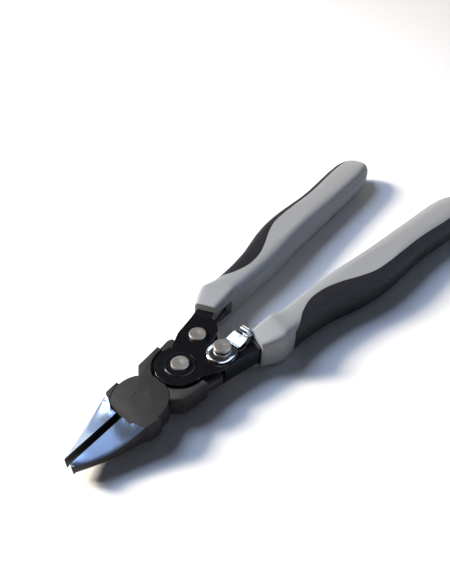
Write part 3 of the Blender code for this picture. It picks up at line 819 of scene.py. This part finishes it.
# Right grip stations in millimetres: centre x, centre y, tilt in degrees, half width, half
# height, squareness, and the insert's edge on the top face as a share of the half width.
GRIP_STATIONS = (
    (13.6, 28.3, 22.0, 4.7, 6.7, 7.0, 0.99),
    (14.6, 32.3, 24.0, 6.0, 7.5, 7.0, 0.99),
    (15.7, 36.6, 26.0, 6.9, 8.2, 7.0, 0.99),
    (16.1, 38.6, 26.0, 7.0, 8.5, 7.0, 0.99),
    (16.4, 42.4, 18.0, 6.7, 7.7, 4.5, 0.98),
    (16.7, 47.0, 11.0, 6.7, 7.3, 3.4, 0.72),
    (17.0, 52.0, 8.0, 6.9, 7.3, 3.2, 0.25),
    (17.7, 60.0, 6.0, 7.3, 7.5, 3.2, -0.12),
    (18.8, 69.0, 8.0, 8.0, 7.8, 3.2, -0.14),
    (20.4, 78.0, 10.0, 9.0, 8.2, 3.2, 0.06),
    (22.2, 87.0, 11.0, 9.8, 8.5, 3.2, 0.30),
    (23.7, 96.0, 8.0, 10.1, 8.6, 3.2, 0.47),
    (24.8, 106.0, 5.0, 10.0, 8.6, 3.2, 0.50),
    (25.5, 117.0, 3.0, 9.7, 8.4, 3.2, 0.52),
    (26.2, 129.0, 4.0, 9.4, 8.2, 3.2, 0.54),
    (27.3, 141.0, 5.0, 9.5, 8.1, 3.2, 0.56),
    (28.6, 153.0, 6.0, 9.9, 8.1, 3.2, 0.59),
    (29.9, 165.0, 6.0, 10.2, 8.1, 3.2, 0.60),
    (31.1, 175.0, 6.0, 9.8, 7.9, 3.1, 0.58),
    (31.9, 182.5, 7.0, 8.4, 7.1, 2.9, 0.54),
    (32.5, 187.5, 8.0, 6.2, 5.5, 2.6, 0.50),
    (32.8, 190.3, 8.0, 3.6, 3.3, 2.3, 0.46),
)
LAST_STATION = len(GRIP_STATIONS) - 1
COLLAR_END = 4
REST_HALF = 8.3
# Middle line of the mouth that takes the channel.
TANG_PATH = (
    (13.6, 28.3), (14.3, 31.5), (15.6, 37.0), (16.4, 43.0),
    (16.9, 52.0), (17.8, 61.0), (19.0, 70.0), (20.8, 80.0),
)
MOUTH_HALF = 3.9
MOUTH_SQUARE = 24.0
LIP_SCALE = 0.985
# Window in the collar's inner side, in plan.
WINDOW = ((11.5, 26.0), (15.4, 38.6), (4.6, 43.0), (2.0, 30.0))
# Each side's mouth and window half heights; the right channel is the taller, outer one.
GRIP_SIDES = {"right": (4.7, 4.6), "left": (3.5, 3.4)}
# Places of rings along the stations; the pocket's end walls stand between two close rings.
COLLAR_RINGS = (
    0.0, 0.06, 0.5, 1.0, 1.5, 2.0, 2.5, 2.88, 3.0, 3.08, 3.4, 3.8, 4.0, 4.12, 4.2)
INSERT_START = 4.25
INSERT_END = 20.3
POCKET_MARGIN = 0.05
RING_STEP = 0.2
WALL = 0.001
END_RINGS = (20.5, 20.75, 21.0)
# Rounding of the grip's end: millimetres past the last station, and scale.
END_CAP = ((0.10, 0.85), (0.19, 0.6), (0.26, 0.3), (0.29, 0.0))
SHELL_STEPS = 72
POCKET_STEPS = 24
INSERT_CLEAR = 0.015
EDGE_LIMITS = (-0.98, 0.995)
CREASE_ANGLE = math.radians(152.0)
CREASE_WIDTH = 0.17
CREASE_START = (5.0, 7.5)
CREASE_END = (17.5, 19.5)


def station(position):
    """The grip's section at a place along its stations: straight at the collar, then smooth."""
    i = min(int(position), LAST_STATION - 1)
    t = position - i
    four = [GRIP_STATIONS[min(max(k, 0), LAST_STATION)] for k in range(i - 1, i + 3)]
    values = []
    for a, b, c, d in zip(*four):
        if i < COLLAR_END:
            values.append(b + (c - b) * t)
        else:
            values.append(0.5 * (2.0 * b + (c - a) * t + (2.0 * a - 5.0 * b + 4.0 * c - d) * t ** 2
                                 + (3.0 * b - a - 3.0 * c + d) * t ** 3))
    return values


def oval(angle, half_width, half_height, square):
    """A point of a squared oval at a polar angle."""
    c = math.cos(angle)
    s = math.sin(angle)
    reach = (abs(c / half_width) ** square + abs(s / half_height) ** square) ** (-1.0 / square)
    return reach * c, reach * s


def insert_edge(values, gap=0.0):
    """Polar angle of the insert's edge; angle 0 is the outer side of the right grip."""
    half_width, half_height, square, share = values[3:7]
    share = max(EDGE_LIMITS[0], min(EDGE_LIMITS[1], share + gap / half_width))
    up = half_height * (1.0 - abs(share) ** square) ** (1.0 / square)
    return math.atan2(up, share * half_width)


def crease(position, angle):
    """Depth of the soft crease high and low on the inner side."""
    along = smooth_step(*CREASE_START, position) * (1.0 - smooth_step(*CREASE_END, position))
    nearest = min(abs(angle - CREASE_ANGLE), abs(2.0 * math.pi - angle - CREASE_ANGLE))
    return sizes().grip_crease / MM * along * math.exp(-(nearest / CREASE_WIDTH) ** 2)


def grip_point(values, position, angle, depth=0.0, scale=1.0):
    """A point on the grip, or below its surface by a depth."""
    x, y, tilt, half_width, half_height, square, _ = values
    across, up = oval(angle, half_width, half_height, square)
    sunk = 1.0 - (depth + crease(position, angle % (2.0 * math.pi))) / math.hypot(across, up)
    across *= sunk * scale
    up *= sunk * scale
    up = max(-REST_HALF, min(REST_HALF, up))
    turn = math.radians(tilt)
    return x + across * math.cos(turn), y - across * math.sin(turn), up


def pocket_depth(position):
    """Depth of the insert's pocket at a place along the grip."""
    return sizes().insert_depth / MM if INSERT_START < position < INSERT_END else 0.0


def grip_positions():
    """Places along the grip where it has a ring of points."""
    first = INSERT_START + POCKET_MARGIN
    count = int((INSERT_END - POCKET_MARGIN - first) / RING_STEP)
    pocket = [first + RING_STEP * i for i in range(count + 1)]
    front = [*COLLAR_RINGS, INSERT_START - WALL, INSERT_START + WALL]
    return front + pocket + [INSERT_END - WALL, INSERT_END + WALL, *END_RINGS]


def grip_body_bmesh(mouth_height):
    """Grip shell, lip, and the deep mouth that takes the channel."""
    rings = [("mouth", len(TANG_PATH) - 1, 0.0)]
    rings += [("mouth", i, 1.0) for i in range(len(TANG_PATH) - 1, -1, -1)]
    rings += [("grip", 0.0, LIP_SCALE)]
    rings += [("grip", position, 1.0) for position in grip_positions()]
    rings += [("end", past, scale) for past, scale in END_CAP]
    columns = SHELL_STEPS + POCKET_STEPS + 2

    def ring_angle(column, edge):
        """Angle of a column, and whether it lies on the pocket's floor."""
        if column <= SHELL_STEPS:
            return edge + (2.0 * math.pi - 2.0 * edge) * column / SHELL_STEPS, False
        if column == columns:
            return edge, False
        return -edge + 2.0 * edge * (column - SHELL_STEPS - 1) / POCKET_STEPS, True

    def place(column, row):
        kind, where, scale = rings[row]
        if kind == "mouth":
            angle, _ = ring_angle(column, insert_edge(station(0.0)))
            x, y = TANG_PATH[where]
            ahead = Vector(TANG_PATH[min(where + 1, len(TANG_PATH) - 1)])
            behind = Vector(TANG_PATH[max(where - 1, 0)])
            along = (ahead - behind).normalized()
            if where == 0:
                turn = math.radians(GRIP_STATIONS[0][2])
                along = Vector((math.sin(turn), math.cos(turn)))
            across, up = oval(angle, MOUTH_HALF, mouth_height, MOUTH_SQUARE)
            return x + across * along.y * scale, y - across * along.x * scale, up * scale
        position = where if kind == "grip" else float(LAST_STATION)
        values = station(position)
        angle, pocket = ring_angle(column, insert_edge(values))
        depth = pocket_depth(position) if pocket and kind == "grip" else 0.0
        x, y, z = grip_point(values, position, angle, depth, scale)
        if kind == "end":
            y += where
        return x, y, z

    return grid_shape(columns, len(rings) - 1, place)


def grip_insert_bmesh():
    """Soft insert that fills the pocket, flush with the grip."""
    gap = sizes().insert_gap / MM
    inside = [p for p in grip_positions() if INSERT_START < p < INSERT_END]
    inside[0] += INSERT_CLEAR
    inside[-1] -= INSERT_CLEAR
    steps = POCKET_STEPS
    columns = 2 * steps + 2

    def place(column, row):
        end = row == 0 or row == len(inside) + 1
        position = inside[min(max(row - 1, 0), len(inside) - 1)]
        values = station(position)
        edge = insert_edge(values, gap)
        depth = sizes().insert_depth / MM - gap
        if column <= steps:
            angle = -edge + 2.0 * edge * column / steps
            depth = depth / 2.0 if end else 0.0
        elif column <= 2 * steps + 1:
            angle = edge - 2.0 * edge * (column - steps - 1) / steps
            depth = depth / 2.0 if end else depth
        else:
            angle = -edge
            depth = depth / 2.0 if end else 0.0
        return grip_point(values, position, angle, depth)

    return grid_shape(columns, len(inside) + 1, place)


class BuildGrips(bpy.types.Operator):
    """Build the two grey grips with their collars, windows, creases and mouths"""

    bl_idname = "cutters.build_grips"
    bl_label = "Grips"

    def execute(self, context):
        for side, (mouth, window) in GRIP_SIDES.items():
            bm = cut(grip_body_bmesh(mouth), prism(WINDOW, -window, window))
            if side == "left":
                flip_side(bm)
            make_piece(f"{side}_grip", bm, f"{side}_handle", "grip_grey", [f"{side}_grip_body"])
        return {"FINISHED"}


class BuildInserts(bpy.types.Operator):
    """Build the two soft black inserts"""

    bl_idname = "cutters.build_inserts"
    bl_label = "Inserts"

    def execute(self, context):
        for side in GRIP_SIDES:
            bm = grip_insert_bmesh()
            if side == "left":
                flip_side(bm)
            make_piece(f"{side}_insert", bm, f"{side}_handle", "grip_black",
                       [f"{side}_grip_insert"])
        return {"FINISHED"}


# ---------------------------------------------------------------- stage

CAMERA_PLACE = Vector((0.09008, -0.15159, 0.15586))
CAMERA_RIGHT = Vector((0.7525, 0.6584, 0.0164))
CAMERA_UP = Vector((-0.4424, 0.4869, 0.7531))
CAMERA_LENS = 31.2
CAMERA_SENSOR = 36.0
CAMERA_CLIP = (0.005, 20.0)
FLOOR_HALF = 3.0

# Lights: name, direction from the tool, distance, size, power, colour.
LIGHTS = (
    ("warm_key", (-0.80, -0.44, 0.58), 1.3, (0.30, 0.30), 34.0, (1.0, 0.92, 0.78)),
    ("blue_top", (-0.66, -0.20, 0.95), 1.2, (0.40, 0.40), 8.0, (0.56, 0.70, 1.0)),
    ("blue_panel", (0.50, 0.32, 0.78), 1.0, (1.60, 1.60), 13.0, (0.62, 0.74, 1.0)),
    ("blue_right", (0.86, 0.28, 0.42), 1.1, (0.90, 0.60), 4.0, (0.58, 0.72, 1.0)),
    ("blue_side", (-0.93, 0.27, 0.22), 1.2, (1.40, 0.50), 1.6, (0.50, 0.68, 1.0)),
    ("latch_glint", (-0.50, 0.16, 0.85), 1.2, (0.32, 0.32), 0.55, (0.90, 0.95, 1.0)),
    ("warm_back", (-0.33, 0.90, 0.25), 1.5, (0.60, 0.25), 3.0, (1.0, 0.84, 0.62)),
)
# Lights that show in reflections only and leave matt surfaces as they are.
REFLECTION_CARDS = ("blue_panel", "blue_right", "latch_glint")
HORIZON = (0.08, 0.08, 0.085, 1.0)
ZENITH = (0.025, 0.025, 0.028, 1.0)
SKY_BAND = (0.08, 0.52)


def area_light(name, place, size, power, tint):
    """A rectangular lamp that shines at the middle of the tool."""
    light = bpy.data.lights.new(name, "AREA")
    light.shape = "RECTANGLE"
    light.size, light.size_y = size
    light.energy = power
    light.color = tint
    lamp = bpy.data.objects.new(name, light)
    lamp.location = place
    lamp.rotation_euler = (-place).to_track_quat("-Z", "Y").to_euler()
    lamp.visible_diffuse = name not in REFLECTION_CARDS
    bpy.context.scene.collection.objects.link(lamp)


def studio_sky():
    """Pale at the horizon, dark overhead."""
    world = bpy.data.worlds.new("sky")
    world.use_nodes = True
    nodes = world.node_tree.nodes
    links = world.node_tree.links
    place = nodes.new("ShaderNodeTexCoord")
    split = nodes.new("ShaderNodeSeparateXYZ")
    height = nodes.new("ShaderNodeMapRange")
    height.interpolation_type = "SMOOTHSTEP"
    height.inputs["From Min"].default_value = SKY_BAND[0]
    height.inputs["From Max"].default_value = SKY_BAND[1]
    blend = nodes.new("ShaderNodeMix")
    blend.data_type = "RGBA"
    blend.inputs[MIX_FIRST].default_value = HORIZON
    blend.inputs[MIX_SECOND].default_value = ZENITH
    links.new(place.outputs["Generated"], split.inputs["Vector"])
    links.new(split.outputs["Z"], height.inputs["Value"])
    links.new(height.outputs["Result"], blend.inputs[MIX_SHARE])
    links.new(blend.outputs[MIX_RESULT], nodes["Background"].inputs["Color"])
    return world


def pale_floor():
    """Matt white with the faintest clouding."""
    base = colours().floor
    finish = Finish("pale_floor", base, 0.8)
    finish.mottle(finish.noise(0.2), 0.4, 0.7, 0.3, shade(base, 0.985))
    return finish.material


def add_floor(scene):
    """The floor on which the tool lies."""
    bm = bmesh.new()
    bmesh.ops.create_grid(bm, x_segments=1, y_segments=1, size=FLOOR_HALF)
    mesh = bpy.data.meshes.new("floor")
    bm.to_mesh(mesh)
    bm.free()
    mesh.materials.append(pale_floor())
    floor = bpy.data.objects.new("floor", mesh)
    scene.collection.objects.link(floor)


def add_camera(scene):
    """The camera, placed by where it stands and which way its right and top point."""
    camera = bpy.data.cameras.new("camera")
    camera.lens = CAMERA_LENS
    camera.sensor_width = CAMERA_SENSOR
    camera.clip_start, camera.clip_end = CAMERA_CLIP
    eye = bpy.data.objects.new("camera", camera)
    back = CAMERA_RIGHT.cross(CAMERA_UP).normalized()
    up = back.cross(CAMERA_RIGHT).normalized()
    right = up.cross(back)
    turn = Matrix((right, up, back)).transposed().to_4x4()
    eye.matrix_world = Matrix.Translation(CAMERA_PLACE) @ turn
    scene.collection.objects.link(eye)
    scene.camera = eye


class BuildStage(bpy.types.Operator):
    """Add the pale floor, the soft lights and the camera"""

    bl_idname = "cutters.build_stage"
    bl_label = "Stage"

    def execute(self, context):
        scene = context.scene
        add_floor(scene)
        scene.world = studio_sky()
        for name, direction, distance, size, power, tint in LIGHTS:
            area_light(name, Vector(direction).normalized() * distance, size, power, tint)
        add_camera(scene)
        scene.view_settings.view_transform = "Standard"
        return {"FINISHED"}


# ---------------------------------------------------------------- panel and registration

OPERATORS = (BuildBlades, BuildChannels, BuildRivets, FinishSmallParts, BuildLatch, BuildGrips,
             BuildInserts, BuildStage)


class CuttersPanel(bpy.types.Panel):
    """Lists the pieces and the stage"""

    bl_idname = "VIEW3D_PT_cutters"
    bl_label = "Compound cutters"
    bl_space_type = "VIEW_3D"
    bl_region_type = "UI"
    bl_category = "Cutters"

    def draw(self, context):
        for operator in OPERATORS:
            self.layout.operator(operator.bl_idname)
        for group in (context.scene.cutter_sizes, context.scene.cutter_colours):
            for name in group.__annotations__:
                self.layout.prop(group, name)


CLASSES = (CutterSizes, CutterColours, *OPERATORS, CuttersPanel)


def register():
    """Registers the classes and hangs the settings on the scene."""
    for item in CLASSES:
        bpy.utils.register_class(item)
    bpy.types.Scene.cutter_sizes = PointerProperty(type=CutterSizes)
    bpy.types.Scene.cutter_colours = PointerProperty(type=CutterColours)


def unregister():
    """Takes away what register added."""
    del bpy.types.Scene.cutter_colours
    del bpy.types.Scene.cutter_sizes
    for item in reversed(CLASSES):
        bpy.utils.unregister_class(item)


def main():
    register()
    bpy.ops.cutters.build_blades()
    bpy.ops.cutters.build_channels()
    bpy.ops.cutters.build_rivets()
    bpy.ops.cutters.finish_small_parts()
    bpy.ops.cutters.build_latch()
    bpy.ops.cutters.build_grips()
    bpy.ops.cutters.build_inserts()
    bpy.ops.cutters.build_stage()


if __name__ == "__main__":
    main()
